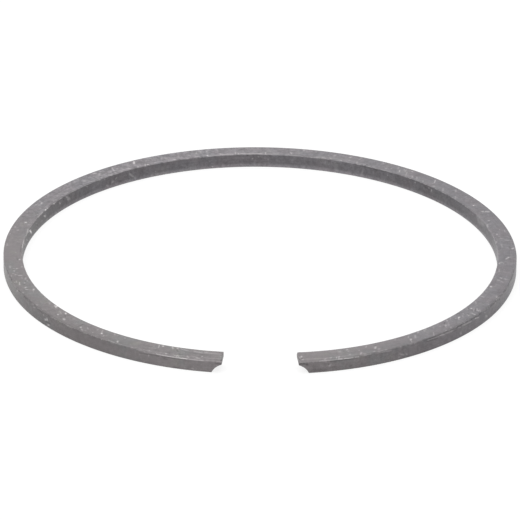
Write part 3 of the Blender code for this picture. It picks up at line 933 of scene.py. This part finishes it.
def coat_and_painted_light_value(tree, noises, mottled):
    """How light the finish is: its tone with the painted shade and highlights in it, made uneven by the
    noises, darker on the inner side as painted shade, and less in dark marks.
    """
    value = add_attribute(tree, "tone")
    swing = add_range(tree, mottled, 0, 2, *COAT_SWING)
    for name, strength in COAT_NOISES.items():
        shift = add_product(tree, add_range(tree, noises[name], *NOISE_SPAN, -strength, strength), swing)
        value = add_product(tree, value, add_math(tree, "ADD", shift, 1))
    across = add_attribute(tree, "across")
    # Painted shade on the inner side.
    painted_inner_shade = add_range(tree, across, RADIAL_WALL, RADIAL_WALL + 0.1 * MM, 1, INNER_SIDE_SHADE)
    dark_mark = add_range(tree, add_attribute(tree, "dark"), 0, 1, 1, DARK_MARK_SHADE)
    return add_product(tree, value, painted_inner_shade, dark_mark)


def bare_share(tree, place_mm, noises, mottled):
    """How bare the metal is, in marks, in tiny specks where the coat is mottled and along the edges."""
    cells = add_node(tree, "ShaderNodeTexVoronoi", {"Vector": place_mm, "Scale": 2.0, "Randomness": 1.0})
    cell_number = add_node(tree, "ShaderNodeSeparateColor", {0: cells.outputs["Color"]}).outputs[0]
    chosen = add_range(tree, cell_number, 0.84, 0.86)
    dots = add_range(tree, cells.outputs["Distance"], 0.12, 0.26, 1, 0)
    crowd = add_product(tree, mottled, add_range(tree, noises["patches"], 0.42, 0.55))
    specks = add_product(tree, chosen, dots, crowd, SPECK_BARENESS)
    edge_wear = add_range(tree, noises["edge wear"], 0.45, 0.75, 0, EDGE_BARENESS)
    worn_edge = add_product(tree, add_attribute(tree, "edge"), edge_wear)
    worn = add_math(tree, "MAXIMUM", add_attribute(tree, "bare"), specks)
    return add_math(tree, "MAXIMUM", worn, worn_edge)


def phosphate_finish():
    """Satin dark grey phosphate on cast iron, mottled, finely scratched and bare where it is worn, with the
    painted shade and highlights of the ring's tone in its colour.
    """
    material = bpy.data.materials.new("phosphated_cast_iron")
    material.use_nodes = True
    tree = material.node_tree
    place_mm = add_scaled(tree, add_node(tree, "ShaderNodeTexCoord").outputs["Object"], 1 / MM)
    mottled = add_attribute(tree, "mottle")
    noises = finish_noises(tree, place_mm)
    hue = coat_hue(tree, noises["clouds"], noises["patches"])
    coat_and_painted_light = add_scaled(tree, hue, coat_and_painted_light_value(tree, noises, mottled))
    metal = bare_share(tree, place_mm, noises, mottled)
    coat_rough = add_range(tree, noises["grain"], *NOISE_SPAN, *COAT_ROUGHNESS)
    rough = add_math(tree, "ADD", coat_rough, add_product(tree, metal, BARE_ROUGHNESS))
    relief = 0
    for name, height in RELIEF_NOISES.items():
        relief = add_math(tree, "ADD", relief, add_product(tree, noises[name], height))
    bump = {"Height": relief, "Strength": 0.6, "Distance": RELIEF_DEPTH}
    shader = tree.nodes["Principled BSDF"].inputs
    feed(tree, shader["Base Color"], add_mix(tree, metal, coat_and_painted_light, BARE_METAL))
    feed(tree, shader["Metallic"], add_range(tree, metal, 0, 1, *METALLIC))
    feed(tree, shader["Roughness"], rough)
    feed(tree, shader["Normal"], add_node(tree, "ShaderNodeBump", bump).outputs[0])
    return material


def worn_ring():
    """The ring as it shows, in place of the frame's plain one."""
    random = np.random.default_rng(SEED)
    worn = placed_marks() + scattered_marks(random)
    mesh = whole_ring_mesh()
    tone_mesh(mesh)
    refine_under(mesh, worn)
    wear_mesh(mesh, worn, random)
    mesh.shade_smooth()
    mesh.materials.append(phosphate_finish())
    ring = bpy.data.objects.new("worn_ring", mesh)
    bpy.context.scene.collection.objects.link(ring)
    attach(ring, "root")
    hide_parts("piston_ring")


def seen_directly(tree):
    """1 for rays from the camera and for reflections, and 0 for light that is passed on."""
    path = add_node(tree, "ShaderNodeLightPath").outputs
    mirrored = add_math(tree, "MAXIMUM", path["Is Glossy Ray"], path["Is Transmission Ray"])
    return add_math(tree, "MAXIMUM", path["Is Camera Ray"], mirrored)


def grey(value):
    return (value, value, value, 1)


def studio_world():
    world = bpy.data.worlds.new("studio")
    world.use_nodes = True
    tree = world.node_tree
    background = tree.nodes["Background"].inputs
    feed(tree, background["Color"], grey(1))
    feed(tree, background["Strength"], add_range(tree, seen_directly(tree), 0, 1, AMBIENT, 1))
    bpy.context.scene.world = world


def floor():
    """A white floor that keeps the ring's soft shadow."""
    bpy.ops.mesh.primitive_plane_add(size=FLOOR_SIZE)
    plane = bpy.context.object
    plane.name = "floor"
    material = bpy.data.materials.new("white_floor")
    material.use_nodes = True
    tree = material.node_tree
    tree.nodes.remove(tree.nodes["Principled BSDF"])
    glow = add_node(tree, "ShaderNodeEmission", {"Color": grey(1), "Strength": FLOOR_GLOW}).outputs[0]
    shade = add_node(tree, "ShaderNodeBsdfDiffuse", {"Color": grey(FLOOR_SHADE)}).outputs[0]
    seen = add_node(tree, "ShaderNodeAddShader", {0: glow, 1: shade}).outputs[0]
    lit = add_node(tree, "ShaderNodeBsdfDiffuse", {"Color": grey(FLOOR_WHITE)}).outputs[0]
    mix = add_node(tree, "ShaderNodeMixShader", {0: seen_directly(tree), 1: lit, 2: seen}).outputs[0]
    feed(tree, tree.nodes["Material Output"].inputs["Surface"], mix)
    plane.data.materials.append(material)


def softbox():
    """A wide overhead lamp that lights the ring evenly."""
    data = bpy.data.lights.new("softbox", "AREA")
    data.size = LAMP_SIZE
    data.energy = LAMP_POWER
    lamp = bpy.data.objects.new("softbox", data)
    bpy.context.scene.collection.objects.link(lamp)
    lamp.location = (LAMP_SHIFT, 0, LAMP_HEIGHT)


def photo_camera():
    """The photograph's camera."""
    data = bpy.data.cameras.new("camera")
    data.lens = CAMERA_LENS
    data.sensor_width = CAMERA_SENSOR
    data.clip_start, data.clip_end = CAMERA_CLIP
    camera = bpy.data.objects.new("camera", data)
    bpy.context.scene.collection.objects.link(camera)
    level = math.cos(CAMERA_ELEVATION)
    location = CAMERA_DISTANCE * np.array([
        level * math.sin(CAMERA_AZIMUTH),
        -level * math.cos(CAMERA_AZIMUTH),
        math.sin(CAMERA_ELEVATION),
    ])
    forward = np.array([
        math.sin(CAMERA_YAW) * math.cos(CAMERA_PITCH),
        math.cos(CAMERA_YAW) * math.cos(CAMERA_PITCH),
        -math.sin(CAMERA_PITCH),
    ])
    level_right = np.array([math.cos(CAMERA_YAW), -math.sin(CAMERA_YAW), 0])
    level_up = np.cross(level_right, forward)
    right = math.cos(CAMERA_ROLL) * level_right + math.sin(CAMERA_ROLL) * level_up
    up = math.cos(CAMERA_ROLL) * level_up - math.sin(CAMERA_ROLL) * level_right
    turn = Matrix(np.stack([right, up, -forward], 1).tolist()).to_4x4()
    camera.matrix_world = Matrix.Translation(location) @ turn
    bpy.context.scene.camera = camera


def main():
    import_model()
    worn_ring()
    floor()
    studio_world()
    softbox()
    photo_camera()
    bpy.context.scene.view_settings.view_transform = "Standard"


main()
